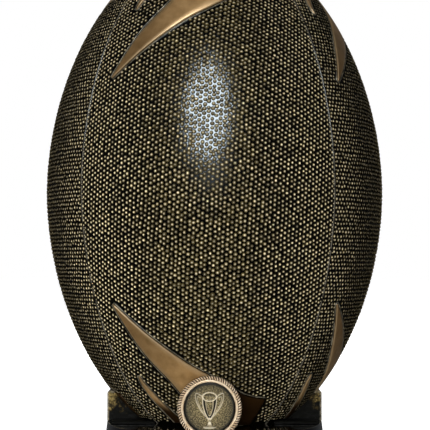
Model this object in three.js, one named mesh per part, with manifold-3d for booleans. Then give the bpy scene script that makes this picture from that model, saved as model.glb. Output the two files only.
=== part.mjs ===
// Rugby ball trophy: a pebbled ball standing on its end in a low cradle on a bow-fronted plinth,
// with flame-shaped inlays at both ends of the ball and a rope-edged medallion at the front.
// Millimetres, +Z up, front towards -Y. The origin is the middle of the underside.
import * as THREE from "three";
import { mergeVertices } from "three/addons/utils/BufferGeometryUtils.js";
import Module from "manifold-3d";

// --- driving dimensions ---
const GAP = 0.3; // clearance between neighbouring pieces
const OVERCUT = 1; // how far a cutter reaches past the face it cuts

const BALL_RADIUS = 88;
const BALL_HALF_LENGTH = 133.7;
const BALL_EXPONENT = 1.9; // a little more pointed than an ellipse
const BALL_WALL = 5;
const BALL_SEGMENTS = 48;
const BALL_ROWS = 24;
const BALL_TURN = -3.05; // degrees, the ball stands slightly turned on its plinth
const BALL_SINK = 6; // how far the flat foot of the ball goes into the plinth
const FRONT_PANEL_ANGLE = 87.7; // degrees between the two seams of the front panel

const SEAM_WIDTH = 0.9;
const SEAM_DEPTH = 0.7;

const FLAME_THICKNESS = 1.4;
const FLAME_TIP_WIDTH = 0.5;
const FLAME_LEAD = 8.7; // degrees from a seam to the tip of the next large flame
const SMALL_FLAME_LEAD = 10.3;
const FLAME_DROP = 1.9; // how far the flames' pattern sits below the ball's middle

const FELT_THICKNESS = 1.2;
const FELT_INSET = 2.5;
const PLINTH_BASE = FELT_THICKNESS + GAP;
const PLINTH_HEIGHT = 24;
const PLINTH_HALF_WIDTH = 55.3;
const PLINTH_HALF_DEPTH = 62.3;
const PLINTH_EXPONENT = 2.9; // plan outline, between an ellipse and a rectangle
const PLINTH_FLARE = 2.5; // how much further out the bottom edge is
const PLINTH_BEVEL = 0.8;
const PLINTH_WALL = 6;
const CAVITY_DEPTH = 12;
const LEDGE = PLINTH_BASE + PLINTH_HEIGHT;
const BALL_CENTRE = LEDGE + 117;
const BALL_FOOT = LEDGE - BALL_SINK;

const CRADLE_HALF_WIDTH = 54.7;
const CRADLE_HALF_DEPTH = 19;
const CRADLE_HEIGHT = 15.2;
const CRADLE_BEVEL = 0.7;
const CRADLE_INNER = 30; // where a cheek ends, under the ball
const FLANGE_HALF_WIDTH = 52.2;
const FLANGE_HALF_DEPTH = 31;
const FLANGE_HEIGHT = 1.2;

const MEDALLION_X = -2.3; // the medallion sits slightly left of the middle
const MEDALLION_Z = LEDGE + 12;
const HOLDER_RADIUS = 15;
const HOLDER_START = 40; // distances in front of the axis: the holder's back end and its face
const HOLDER_FACE = 62.8;
const BEZEL_RADIUS = 15.5;
const BEZEL_INNER_RADIUS = 12.3;
const BEZEL_THICKNESS = 2.9;
const BEZEL_CHAMFER = 0.6;
const BEZEL_ROUNDING = 0.9;
const DISC_RADIUS = 12;
const DISC_THICKNESS = 1.5;
const DISC_RELIEF = 0.4;
const RELIEF_ROOT = 0.2; // how deep the relief is rooted in the disc
const ADHESIVE_RADIUS = 11;
const ADHESIVE_THICKNESS = 0.5;

const BUNG_RADIUS = 10.7;
const BUNG_LENGTH = 18;
const INSERT_RADIUS = 4;
const INSERT_LENGTH = 12;
const INSERT_RELIEF = 2; // free depth above the insert
const BOLT_RADIUS = 3; // M6
const BOLT_HEAD_RADIUS = 5;
const BOLT_HEAD_HEIGHT = 4;
const WASHER_RADIUS = 9;
const WASHER_THICKNESS = 1.2;
const BALLAST_THICKNESS = 5;
const BALLAST_INSET = 12;

const SCREW_X = 50.4;
const SCREW_Y = 10;
const SCREW_RADIUS = 1.9;
const SCREW_HEAD_RADIUS = 3.5;
const SCREW_HEAD_HEIGHT = 2.6;
const SCREW_REACH = 7; // how far a screw goes into its cradle cheek

// --- materials ---
const finish = (color, roughness, metalness) =>
  new THREE.MeshStandardMaterial({ color, roughness, metalness });
const antiqueGoldPebbles = finish(0x6e5d33, 0.4, 0.6);
const antiqueGold = finish(0x9a6f3d, 0.35, 0.7);
const mottledBronze = finish(0x54462a, 0.45, 0.5);
const blackGloss = finish(0x0b0b0c, 0.12, 0);
const copperGold = finish(0xc39a6b, 0.3, 0.8);
const speckledGold = finish(0x7d6f45, 0.4, 0.7);
const castResin = finish(0x8c8478, 0.7, 0);
const brass = finish(0xb5974f, 0.35, 0.9);
const steel = finish(0x9a9da1, 0.35, 0.9);
const foam = finish(0xe8e6df, 0.9, 0);
const felt = finish(0x16181a, 0.95, 0);

// --- solids: three.js geometry joined and cut with manifold-3d ---
const wasm = await Module();
wasm.setup();

function solid(geometry) {
  const bare = geometry.clone();
  bare.deleteAttribute("normal");
  bare.deleteAttribute("uv");
  const merged = mergeVertices(bare, 1e-4);
  return new wasm.Manifold(
    new wasm.Mesh({
      numProp: 3,
      vertProperties: merged.attributes.position.array,
      triVerts: new Uint32Array(merged.index.array),
    }),
  );
}

function geometryOf(manifold) {
  const { vertProperties, triVerts } = manifold.getMesh();
  const geometry = new THREE.BufferGeometry();
  geometry.setAttribute("position", new THREE.BufferAttribute(vertProperties, 3));
  geometry.setIndex(new THREE.BufferAttribute(triVerts, 1));
  return geometry;
}

const root = new THREE.Group();

function place(name, manifold, material, parent = root) {
  const geometry = geometryOf(manifold).toNonIndexed();
  geometry.computeVertexNormals();
  const mesh = new THREE.Mesh(geometry, material);
  mesh.name = name;
  parent.add(mesh);
}

// A solid of revolution about Z from [radius, height] points, listed from bottom to top.
function turned(profile, segments) {
  const points = profile.map(([r, z]) => new THREE.Vector2(r, z));
  return new THREE.LatheGeometry(points, segments).rotateX(Math.PI / 2);
}

function rod(radius, bottom, top, segments = 24) {
  return turned([[0, bottom], [radius, bottom], [radius, top], [0, top]], segments);
}

function tube(radius, bore, bottom, top, segments = 24) {
  const section = [[bore, bottom], [radius, bottom], [radius, top], [bore, top], [bore, bottom]];
  return turned(section, segments);
}

// A solid whose sections are rings of equal point counts, capped at both ends round their middles.
function loft(rings) {
  const count = rings[0].length;
  const middle = (ring) => ring.reduce((sum, p) => sum.add(p), new THREE.Vector3()).divideScalar(count);
  const vertices = [...rings.flat(), middle(rings[0]), middle(rings.at(-1))];
  const firstCap = rings.length * count;
  const lastRing = (rings.length - 1) * count;
  const faces = [];
  for (let i = 0; i < count; i++) {
    const j = (i + 1) % count;
    for (let level = 0; level < rings.length - 1; level++) {
      const low = level * count;
      const high = low + count;
      faces.push(low + i, low + j, high + j, low + i, high + j, high + i);
    }
    faces.push(firstCap, j, i, firstCap + 1, lastRing + i, lastRing + j);
  }
  const geometry = new THREE.BufferGeometry().setFromPoints(vertices);
  geometry.setIndex(faces);
  return geometry;
}

// --- the ball's surface ---
const radians = THREE.MathUtils.degToRad;

// Radius at a height from the ball's middle, with the whole surface moved out by offset.
function ballRadius(z, offset = 0) {
  const halfLength = BALL_HALF_LENGTH + offset;
  const part = Math.min(Math.abs(z) / halfLength, 1);
  return (BALL_RADIUS + offset) * (1 - part ** BALL_EXPONENT) ** (1 / BALL_EXPONENT);
}

// A point of the ball, by azimuth in degrees from the front, height and depth below the surface.
function onBall(azimuth, z, depth) {
  const step = 0.5;
  const limit = BALL_HALF_LENGTH - step;
  const at = THREE.MathUtils.clamp(z, -limit, limit);
  const slope = (ballRadius(at + step) - ballRadius(at - step)) / (2 * step);
  const scale = depth / Math.hypot(1, slope);
  const r = ballRadius(z) - scale;
  const angle = radians(azimuth);
  return new THREE.Vector3(r * Math.sin(angle), -r * Math.cos(angle), z + scale * slope);
}

// The ball's outline from a height up to the top pole, moved out by offset.
function ballProfile(bottom, offset, rows) {
  const halfLength = BALL_HALF_LENGTH + offset;
  const startAngle = Math.asin(bottom / halfLength);
  const profile = [[0, bottom]];
  for (let i = 0; i < rows; i++) {
    const angle = startAngle + ((Math.PI / 2 - startAngle) * i) / rows;
    const z = halfLength * Math.sin(angle);
    profile.push([ballRadius(z, offset), z]);
  }
  profile.push([0, halfLength]);
  return profile;
}

const ballFootLevel = BALL_FOOT - BALL_CENTRE;

// What the neighbours are cut with: the ball grown by the gap, at its place in the trophy.
const ballClearance = solid(
  turned(ballProfile(ballFootLevel - GAP, GAP, BALL_ROWS), BALL_SEGMENTS).translate(0, 0, BALL_CENTRE),
);

// --- flames ---
// Edges of a flame as [degrees from its tip, distance from the pattern's middle], from the tip to the end.
const LARGE_FLAME = {
  equatorEdge: [[0, 54.4], [12.5, 69.2], [26, 81.9], [38, 89.8], [53, 98.8], [65.5, 101.5]],
  poleEdge: [[0, 54.4], [8, 75.6], [17, 89.8], [27, 104.1], [42, 112.5], [64, 115]],
};
const SMALL_FLAME = {
  equatorEdge: [[0, 89.8], [1.4, 94.1], [5.4, 101.5], [10, 108], [14, 113.5]],
  poleEdge: [[0, 89.8], [-0.2, 93.5], [1.6, 99.6], [5, 106.8], [9, 113.5]],
};
const FLAME_STEPS = 8;

// An edge as points moved sideways by side and lengthened at both ends by extra, all in millimetres.
function flameEdge(edge, side, extra) {
  const curve = new THREE.SplineCurve(edge.map(([azimuth, z]) => new THREE.Vector2(azimuth, z)));
  const points = [];
  for (let i = 0; i <= FLAME_STEPS; i++) {
    const part = i / FLAME_STEPS;
    const p = curve.getPoint(part);
    const tangent = curve.getTangent(part);
    const degree = radians(1) * ballRadius(p.y);
    const along = new THREE.Vector2(tangent.x * degree, tangent.y).normalize();
    const end = i === 0 ? -extra : i === FLAME_STEPS ? extra : 0;
    const across = (along.y * side + along.x * end) / degree;
    points.push([p.x + across, p.y - along.x * side + along.y * end]);
  }
  return points;
}

// A patch of the ball's skin between a flame's two edges. pole is 1 at the top and -1 at the bottom.
function flamePatch(flame, tipAzimuth, pole, grow, top, bottom) {
  const half = FLAME_TIP_WIDTH / 2 + grow;
  const equatorEdge = flameEdge(flame.equatorEdge, half, grow);
  const poleEdge = flameEdge(flame.poleEdge, -half, grow);
  const rings = equatorEdge.map((start, i) => {
    const end = poleEdge[i];
    const skin = (depth) =>
      [0, 0.5, 1].map((part) => {
        const azimuth = THREE.MathUtils.lerp(start[0], end[0], part);
        const z = THREE.MathUtils.lerp(start[1], end[1], part);
        return onBall(tipAzimuth + azimuth, pole * z - FLAME_DROP, depth);
      });
    const ring = [...skin(top), ...skin(bottom).reverse()];
    return pole > 0 ? ring.reverse() : ring;
  });
  return solid(loft(rings));
}

const flames = [];
const sides = ["front", "right", "back", "left"];
const halfPanel = FRONT_PANEL_ANGLE / 2;
const seamAzimuths = [-halfPanel, halfPanel, 180 - halfPanel, 180 + halfPanel].map(
  (azimuth) => azimuth + BALL_TURN,
);
sides.forEach((side, i) => {
  for (const [end, pole] of [["top", 1], ["bottom", -1]]) {
    const large = { flame: LARGE_FLAME, pole, azimuth: seamAzimuths[i] + FLAME_LEAD };
    const small = { flame: SMALL_FLAME, pole, azimuth: seamAzimuths[i] + SMALL_FLAME_LEAD };
    flames.push({ name: `large_flame_${end}_${side}`, ...large });
    flames.push({ name: `small_flame_${end}_${side}`, ...small });
  }
});

// --- ball ---
function seamBlade(azimuth) {
  const start = ballFootLevel + 1;
  const steps = 16;
  const heights = Array.from({ length: steps + 1 }, (_, i) => {
    const angle = Math.asin(start / BALL_HALF_LENGTH);
    return BALL_HALF_LENGTH * Math.sin(angle + ((Math.PI / 2 - angle) * i) / steps);
  });
  const line = (depth) =>
    heights.map((z) => onBall(90, z, depth)).map((p) => new THREE.Vector2(p.x, p.z));
  const outside = line(-OVERCUT).slice(0, -1);
  const inside = line(SEAM_DEPTH).slice(0, -1).reverse();
  const pastPole = [
    new THREE.Vector2(-SEAM_WIDTH, BALL_HALF_LENGTH + OVERCUT),
    new THREE.Vector2(-SEAM_WIDTH, BALL_HALF_LENGTH - SEAM_DEPTH),
  ];
  const outline = [...outside, ...pastPole, ...inside];
  const options = { depth: SEAM_WIDTH, bevelEnabled: false };
  const blade = new THREE.ExtrudeGeometry(new THREE.Shape(outline), options);
  blade.translate(0, 0, -SEAM_WIDTH / 2);
  blade.rotateX(Math.PI / 2);
  return blade.rotateZ(radians(azimuth - 90));
}

function ballShell() {
  const floor = ballFootLevel + BALL_WALL;
  const outside = solid(turned(ballProfile(ballFootLevel, 0, BALL_ROWS), BALL_SEGMENTS));
  const hollow = solid(turned(ballProfile(floor, -BALL_WALL, 10), 20));
  const footHole = solid(rod(BUNG_RADIUS + GAP, ballFootLevel - OVERCUT, floor + OVERCUT));
  let shell = outside.subtract(hollow).subtract(footHole);
  for (const azimuth of seamAzimuths) shell = shell.subtract(solid(seamBlade(azimuth)));
  for (const { flame, azimuth, pole } of flames) {
    shell = shell.subtract(flamePatch(flame, azimuth, pole, GAP, -OVERCUT, FLAME_THICKNESS + GAP));
  }
  return shell;
}

const ball = new THREE.Group();
ball.position.z = BALL_CENTRE;
root.add(ball);
place("ball_shell", ballShell(), antiqueGoldPebbles, ball);
for (const { name, flame, azimuth, pole } of flames) {
  place(name, flamePatch(flame, azimuth, pole, 0, 0, FLAME_THICKNESS), antiqueGold, ball);
}

// --- plinth and what it holds ---
// Plan outline of the plinth, moved in by inset, at a height.
function plinthRing(inset, z) {
  const count = 48;
  const power = 2 / PLINTH_EXPONENT;
  return Array.from({ length: count }, (_, i) => {
    const angle = (2 * Math.PI * i) / count;
    const c = Math.cos(angle);
    const s = Math.sin(angle);
    const x = (PLINTH_HALF_WIDTH - inset) * Math.sign(c) * Math.abs(c) ** power;
    const y = (PLINTH_HALF_DEPTH - inset) * Math.sign(s) * Math.abs(s) ** power;
    return new THREE.Vector3(x, y, z);
  });
}

function alongY(geometry, x, z) {
  return geometry.rotateX(Math.PI / 2).translate(x, 0, z);
}

const screwPlaces = [
  ["right_front", SCREW_X, -SCREW_Y],
  ["right_back", SCREW_X, SCREW_Y],
  ["left_back", -SCREW_X, SCREW_Y],
  ["left_front", -SCREW_X, -SCREW_Y],
];
const cavityTop = PLINTH_BASE + CAVITY_DEPTH;
const boltHole = BOLT_RADIUS + GAP;

function plinth() {
  const bevelStart = LEDGE - PLINTH_BEVEL;
  const body = solid(
    loft([
      plinthRing(-PLINTH_FLARE, PLINTH_BASE),
      plinthRing(0, bevelStart),
      plinthRing(PLINTH_BEVEL, LEDGE),
    ]),
  );
  const cavity = loft([
    plinthRing(PLINTH_WALL - PLINTH_FLARE, PLINTH_BASE - OVERCUT),
    plinthRing(PLINTH_WALL, cavityTop),
  ]);
  const front = PLINTH_HALF_DEPTH + PLINTH_FLARE + OVERCUT;
  const holderSeat = alongY(rod(HOLDER_RADIUS + GAP, 0, front, 48), MEDALLION_X, MEDALLION_Z);
  const bezelSeat = alongY(rod(BEZEL_RADIUS + GAP, HOLDER_FACE, front, 48), MEDALLION_X, MEDALLION_Z);
  let made = body.subtract(solid(cavity)).subtract(ballClearance);
  made = made.subtract(solid(holderSeat)).subtract(solid(bezelSeat));
  made = made.subtract(solid(rod(boltHole, 0, LEDGE)));
  for (const [, x, y] of screwPlaces) {
    made = made.subtract(solid(rod(SCREW_RADIUS + GAP, 0, LEDGE + OVERCUT).translate(x, y, 0)));
    made = made.subtract(solid(rod(SCREW_HEAD_RADIUS + GAP, 0, cavityTop).translate(x, y, 0)));
  }
  return made;
}

// One cheek of the cradle: an end block with two corner posts and a thin foot flange. side is 1 or -1.
function cradleCheek(side) {
  const bottom = LEDGE + GAP;
  const top = LEDGE + CRADLE_HEIGHT;
  const block = (halfDepth, outer, z) => [
    new THREE.Vector3(CRADLE_INNER, -halfDepth, z),
    new THREE.Vector3(outer - CRADLE_BEVEL, -halfDepth, z),
    new THREE.Vector3(outer, -halfDepth + CRADLE_BEVEL, z),
    new THREE.Vector3(outer, halfDepth - CRADLE_BEVEL, z),
    new THREE.Vector3(outer - CRADLE_BEVEL, halfDepth, z),
    new THREE.Vector3(CRADLE_INNER, halfDepth, z),
  ];
  const lift = CRADLE_BEVEL;
  const posts = loft([
    block(CRADLE_HALF_DEPTH, CRADLE_HALF_WIDTH, bottom),
    block(CRADLE_HALF_DEPTH, CRADLE_HALF_WIDTH, top - lift),
    block(CRADLE_HALF_DEPTH - lift, CRADLE_HALF_WIDTH - lift, top),
  ]);
  const flange = loft([
    block(FLANGE_HALF_DEPTH, FLANGE_HALF_WIDTH, bottom),
    block(FLANGE_HALF_DEPTH, FLANGE_HALF_WIDTH, bottom + FLANGE_HEIGHT / 2),
    block(FLANGE_HALF_DEPTH - lift, FLANGE_HALF_WIDTH - lift, bottom + FLANGE_HEIGHT),
  ]);
  let cheek = solid(posts).add(solid(flange)).subtract(ballClearance);
  for (const y of [-SCREW_Y, SCREW_Y]) {
    const hole = rod(SCREW_RADIUS + GAP, LEDGE - OVERCUT, LEDGE + SCREW_REACH + GAP);
    cheek = cheek.subtract(solid(hole.translate(SCREW_X, y, 0)));
  }
  return side > 0 ? cheek : cheek.rotate([0, 0, 180]);
}

place("plinth", plinth(), blackGloss);
place("cradle_cheek_right", cradleCheek(1), mottledBronze);
place("cradle_cheek_left", cradleCheek(-1), mottledBronze);

for (const [name, x, y] of screwPlaces) {
  const headTop = cavityTop;
  const profile = [
    [0, headTop - SCREW_HEAD_HEIGHT],
    [SCREW_HEAD_RADIUS, headTop - SCREW_HEAD_HEIGHT],
    [SCREW_HEAD_RADIUS, headTop - GAP],
    [SCREW_RADIUS, headTop - GAP],
    [SCREW_RADIUS, LEDGE + SCREW_REACH],
    [0, LEDGE + SCREW_REACH],
  ];
  place(`cradle_screw_${name}`, solid(turned(profile, 20).translate(x, y, 0)), steel);
}

const ballastTop = cavityTop - GAP;
const ballastBottom = ballastTop - BALLAST_THICKNESS;
const ballast = loft([
  plinthRing(BALLAST_INSET, ballastBottom),
  plinthRing(BALLAST_INSET, ballastTop),
]);
place("ballast_plate", solid(ballast).subtract(solid(rod(boltHole, 0, LEDGE))), steel);

const washerTop = ballastBottom - GAP;
const washerBottom = washerTop - WASHER_THICKNESS;
place("bolt_washer", solid(tube(WASHER_RADIUS, boltHole, washerBottom, washerTop)), steel);

const headTop = washerBottom - GAP;
const boltTop = BALL_FOOT + INSERT_LENGTH;
const boltProfile = [
  [0, headTop - BOLT_HEAD_HEIGHT],
  [BOLT_HEAD_RADIUS, headTop - BOLT_HEAD_HEIGHT],
  [BOLT_HEAD_RADIUS, headTop],
  [BOLT_RADIUS, headTop],
  [BOLT_RADIUS, boltTop],
  [0, boltTop],
];
place("tie_bolt", solid(turned(boltProfile, 24)), steel);

const bung = solid(rod(BUNG_RADIUS, BALL_FOOT, BALL_FOOT + BUNG_LENGTH, 32));
const insertHole = rod(INSERT_RADIUS + GAP, BALL_FOOT - OVERCUT, BALL_FOOT + INSERT_LENGTH + INSERT_RELIEF);
place("ball_bung", bung.subtract(solid(insertHole)), castResin);
const insert = tube(INSERT_RADIUS, boltHole, BALL_FOOT, BALL_FOOT + INSERT_LENGTH);
place("threaded_insert", solid(insert), brass);

const pad = loft([plinthRing(FELT_INSET, 0), plinthRing(FELT_INSET, FELT_THICKNESS)]);
place("felt_pad", solid(pad), felt);

// --- medallion ---
// Turned pieces of the medallion face the front: their heights become distances towards -Y.
const facing = (geometry) => solid(alongY(geometry, MEDALLION_X, MEDALLION_Z));

const holder = facing(rod(HOLDER_RADIUS, HOLDER_START, HOLDER_FACE, 48)).subtract(ballClearance);
place("medallion_holder", holder, mottledBronze);

const bezelBack = HOLDER_FACE + GAP;
const bezelFront = bezelBack + BEZEL_THICKNESS;
const bezelProfile = [
  [BEZEL_INNER_RADIUS, bezelBack],
  [BEZEL_RADIUS - BEZEL_CHAMFER, bezelBack],
  [BEZEL_RADIUS, bezelBack + BEZEL_CHAMFER],
  [BEZEL_RADIUS, bezelFront - BEZEL_ROUNDING],
  [BEZEL_RADIUS - BEZEL_ROUNDING, bezelFront],
  [BEZEL_INNER_RADIUS + BEZEL_CHAMFER, bezelFront],
  [BEZEL_INNER_RADIUS, bezelFront - BEZEL_CHAMFER],
  [BEZEL_INNER_RADIUS, bezelBack],
];
place("medallion_bezel", facing(turned(bezelProfile, 40)), copperGold);

const adhesiveFront = bezelBack + ADHESIVE_THICKNESS;
place("disc_adhesive", facing(rod(ADHESIVE_RADIUS, bezelBack, adhesiveFront, 32)), foam);

// A plain two-handled cup: bowl, stem and foot as one outline, with a ring on each side for handles.
function cupRelief() {
  const outline = [
    [0, -8], [4.2, -8], [4.2, -6.6], [1.4, -5.6], [0.8, -3.4],
    [3, -1], [4.4, 2.5], [5, 7], [0, 7],
  ];
  const mirrored = outline.slice(1, -1).reverse().map(([x, y]) => [-x, y]);
  const points = [...outline, ...mirrored].map(([x, y]) => new THREE.Vector2(x, y));
  const options = { depth: DISC_RELIEF + RELIEF_ROOT, bevelEnabled: false };
  let relief = solid(new THREE.ExtrudeGeometry(new THREE.Shape(points), options));
  for (const side of [-1, 1]) {
    const handle = new THREE.Shape().absarc(side * 5.2, 3.4, 2.6, 0, 2 * Math.PI);
    handle.holes.push(new THREE.Path().absarc(side * 5.2, 3.4, 1.8, 0, 2 * Math.PI));
    relief = relief.add(solid(new THREE.ExtrudeGeometry(handle, { ...options, curveSegments: 12 })));
  }
  return relief;
}

const discBack = adhesiveFront + GAP;
const discFront = discBack + DISC_THICKNESS;
const reliefPlace = [MEDALLION_X, RELIEF_ROOT - discFront, MEDALLION_Z];
const relief = cupRelief().rotate([90, 0, 0]).translate(reliefPlace);
const disc = facing(rod(DISC_RADIUS, discBack, discFront, 40)).add(relief);
place("medallion_disc", disc, speckledGold);

export default root;
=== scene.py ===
"""Rugby ball trophy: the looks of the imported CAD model.

A pebbled ball stands on end in a low bronze cradle on a glossy black plinth, with smooth gold
flames let into both ends of the ball and a rope-edged medallion with a cup at the front.
Metres, +Z up, front towards -Y, in the frame of the CAD model.
"""

import math

import bpy
import numpy as np
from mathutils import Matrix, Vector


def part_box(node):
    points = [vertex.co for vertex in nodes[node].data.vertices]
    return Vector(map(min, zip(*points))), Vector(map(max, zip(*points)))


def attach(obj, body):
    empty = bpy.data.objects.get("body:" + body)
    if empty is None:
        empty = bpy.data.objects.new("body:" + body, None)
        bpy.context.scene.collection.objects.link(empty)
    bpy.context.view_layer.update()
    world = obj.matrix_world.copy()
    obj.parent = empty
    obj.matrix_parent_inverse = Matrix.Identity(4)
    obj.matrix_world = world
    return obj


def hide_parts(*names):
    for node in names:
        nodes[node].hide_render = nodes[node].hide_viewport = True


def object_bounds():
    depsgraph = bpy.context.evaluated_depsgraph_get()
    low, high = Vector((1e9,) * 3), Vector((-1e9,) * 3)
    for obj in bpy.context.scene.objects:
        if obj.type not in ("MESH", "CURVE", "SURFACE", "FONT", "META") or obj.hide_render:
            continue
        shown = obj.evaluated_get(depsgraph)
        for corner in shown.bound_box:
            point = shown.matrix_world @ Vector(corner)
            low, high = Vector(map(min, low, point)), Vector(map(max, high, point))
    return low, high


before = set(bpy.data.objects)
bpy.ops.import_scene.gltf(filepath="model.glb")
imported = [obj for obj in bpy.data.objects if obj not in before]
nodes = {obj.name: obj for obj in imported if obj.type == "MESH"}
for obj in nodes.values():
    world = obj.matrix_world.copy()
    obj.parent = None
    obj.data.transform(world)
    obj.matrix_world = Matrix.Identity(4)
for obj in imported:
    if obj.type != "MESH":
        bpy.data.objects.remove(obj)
cad_low, cad_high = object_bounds()
rng = np.random.default_rng(7)

MM = 0.001
TAU = 2 * math.pi

# ---------------------------------------------------------------- the ball's shape
ball_low, ball_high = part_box("ball_shell")
BALL_RADIUS = ball_high.x
BALL_HALF_LENGTH = 133.7 * MM
BALL_EXPONENT = 1.9
BALL_FOOT = ball_low.z
BALL_CUT = 123.0 * MM  # from the flat foot up to the widest place
BALL_CENTRE = BALL_FOOT + BALL_CUT
BALL_TURN = math.radians(-3.05)
FRONT_PANEL = math.radians(87.7)
SIDE_PANEL = math.pi - FRONT_PANEL
GROUND_DEPTH = 0.78 * MM  # how far the black ground lies below the pebbles' tops

SEAM_RIDGE = 0.3 * MM  # half width of the smooth bead along a seam
SEAM_GROOVE = 0.5 * MM  # where the groove beside the bead ends
SEAM_DEPTH = 0.3 * MM
SEAM_CLEAR = 1.12 * MM  # no whole pebble has its middle nearer to a seam
CUT_REACH = 0.4 * MM  # pebbles farther beyond a seam are left out
CUT_ROOM = 0.55 * MM  # pebbles nearer to a seam than this are cut by it
CUT_CLEAR = 0.95 * MM  # where the middles of the cut pebbles lie
CUT_SIZE = 0.55  # share of a whole pebble's size

# azimuth of each panel's middle from the front, and the angle between its seams
PANELS = {
    "front": (BALL_TURN, FRONT_PANEL),
    "right": (BALL_TURN + math.pi / 2, SIDE_PANEL),
    "back": (BALL_TURN + math.pi, FRONT_PANEL),
    "left": (BALL_TURN - math.pi / 2, SIDE_PANEL),
}
SEAMS = sorted(middle + angle / 2 for middle, angle in PANELS.values())

# ---------------------------------------------------------------- pebbles
PITCH = 2.28 * MM
COLUMN = PITCH * math.sqrt(3) / 2
LATTICE_LEAN = math.radians(3)
PEBBLE_RADIUS = 1.1 * MM
PEBBLE_SIDES = 7
PEBBLE_RINGS = ((1.0, -0.1), (0.84, 0.42), (0.6, 0.76), (0.36, 0.93))  # shares of radius and height
FOOT, FLANK, TOP, CAP = range(4)  # a pebble's parts, one above each ring
PEBBLE_BANDS = (("upper", 40 * MM, 1.0), ("middle", -40 * MM, 40 * MM), ("lower", -1.0, -40 * MM))
# The tones are lit and shaded copies of each pebble finish, chosen by painted light and shade and at
# random.
PEBBLE_TONES = (0.42, 0.75, 1.0, 1.4)  # shares of a finish's colour, darkest first
PLACE_JITTER = 0.07 * PITCH
SIZE_JITTER = 0.11
STRETCH_JITTER = 0.1
HEIGHT_JITTER = 0.22  # a pebble is at most this share lower than the highest ones
FOOT_CLEAR = 7.5 * MM  # height above the flat foot where the pebbles start
TOP_CLEAR = 2 * MM  # distance along the skin from the ball's top where they end

# How bright the pebbles are painted, by the angle from the middle of the front or the back panel and by
# height: painted light and painted shade standing in for the lighting.
PAINTED_LIGHT_MIDDLE = math.radians(38)
PAINTED_LIGHT_REACH = math.radians(22)
PAINTED_SHADE_START, PAINTED_SHADE_END = math.radians(50), math.radians(64)
SIDE_LIGHT_START, SIDE_LIGHT_END = math.radians(70), math.radians(84)
BROWN_START, BROWN_END = math.radians(10), math.radians(30)
# Painted shade: the gold is painted darker below the middle.
SHADE_START, SHADE_END = 55 * MM, 95 * MM  # below the middle, where the gold gets darker

# ---------------------------------------------------------------- flames
# Edges as (degrees from the tip, millimetres from the pattern's middle), as in the CAD model.
LARGE_FLAME = (
    ((0, 54.4), (12.5, 69.2), (26, 81.9), (38, 89.8), (53, 98.8), (65.5, 101.5)),
    ((0, 54.4), (8, 75.6), (17, 89.8), (27, 104.1), (42, 112.5), (64, 115)),
)
SMALL_FLAME = (
    ((0, 89.8), (1.4, 94.1), (5.4, 101.5), (10, 108), (14, 113.5)),
    ((0, 89.8), (-0.2, 93.5), (1.6, 99.6), (5, 106.8), (9, 113.5)),
)
FLAME_DROP = 1.9 * MM  # how far the flames' pattern sits below the ball's middle
FLAME_LEAD = math.radians(8.7)
SMALL_FLAME_LEAD = math.radians(10.3)
FLAME_STEPS = 48
FLAME_DEPTH = 1.3 * MM
FLAME_MARGIN = 0.22 * MM  # half width at the very tip
FLAME_CLEAR = 1.55 * MM  # no pebble has its middle nearer to a flame
FLAME_ZONE = 50 * MM  # no flame is nearer to the ball's middle
FLAME_SPAN = 1.5  # radians from its tip that hold all of a flame
# Painted light: a flame is painted brighter from its tip along this share of its length.
BRIGHT_START, BRIGHT_END = 0.15, 0.5  # shares of the length where a flame gets brighter
# Painted shade: a lower flame is painted darker along this share of its length.
END_SHADE_START, END_SHADE_END = 0.5, 0.76  # shares of the length where a lower flame gets darker
RIM_OFFSET = 0.85 * MM
RIM_WIDTH = 0.34 * MM

# ---------------------------------------------------------------- small helpers


def smoothstep(low, high, x):
    t = np.clip((x - low) / (high - low), 0, 1)
    return t * t * (3 - 2 * t)


def mesh_object(name, vertices, faces, materials, smooth=True, indices=None):
    mesh = bpy.data.meshes.new(name)
    mesh.from_pydata(np.asarray(vertices).tolist(), [], faces)
    for finish in materials:
        mesh.materials.append(finish)
    if indices is not None:
        mesh.polygons.foreach_set("material_index", np.asarray(indices, np.int32))
    mesh.polygons.foreach_set("use_smooth", [smooth] * len(faces))
    mesh.update()
    made = bpy.data.objects.new(name, mesh)
    bpy.context.scene.collection.objects.link(made)
    return made


def grid_faces(rows, columns, wrap):
    """Quads between rows of points; wrap joins each row's last point to its first."""
    faces = []
    for row in range(rows - 1):
        for column in range(columns if wrap else columns - 1):
            after = (column + 1) % columns
            low, high = row * columns, (row + 1) * columns
            faces.append((low + column, low + after, high + after, high + column))
    return faces


def capped_faces(rows, columns, flipped=False):
    """A closed tube of rings of points, with a flat cap at each end."""
    faces = grid_faces(rows, columns, True)
    faces.append(tuple(range(columns))[::-1])
    faces.append(tuple(range((rows - 1) * columns, rows * columns)))
    return [face[::-1] for face in faces] if flipped else faces


def fanned_faces(rows, columns):
    """A closed tube of rings of points, whose ends close on the two points after the rings."""
    faces = grid_faces(rows, columns, True)
    first, last = rows * columns, rows * columns + 1
    top = (rows - 1) * columns
    for i in range(columns):
        j = (i + 1) % columns
        faces.append((first, j, i))
        faces.append((last, top + i, top + j))
    return faces


def piece(made, slot, *replaced):
    """Puts a finished piece on the trophy's only body."""
    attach(made, "root")
    if replaced:
        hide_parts(*replaced)
    return made


def paint_float(made, name, values):
    layer = made.data.attributes.new(name, "FLOAT", "POINT")
    layer.data.foreach_set("value", np.asarray(values, np.float32))


# ---------------------------------------------------------------- materials


def material(name, **sockets):
    """A material with one Principled shader. A keyword is a socket's name with _ for spaces."""
    made = bpy.data.materials.new(name)
    made.use_nodes = True
    shader = made.node_tree.nodes["Principled BSDF"]
    for key, value in sockets.items():
        socket = shader.inputs[key.replace("_", " ")]
        socket.default_value = (*value, 1) if isinstance(value, tuple) else value
    return made


def shader_of(made):
    return made.node_tree.nodes["Principled BSDF"]


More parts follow.
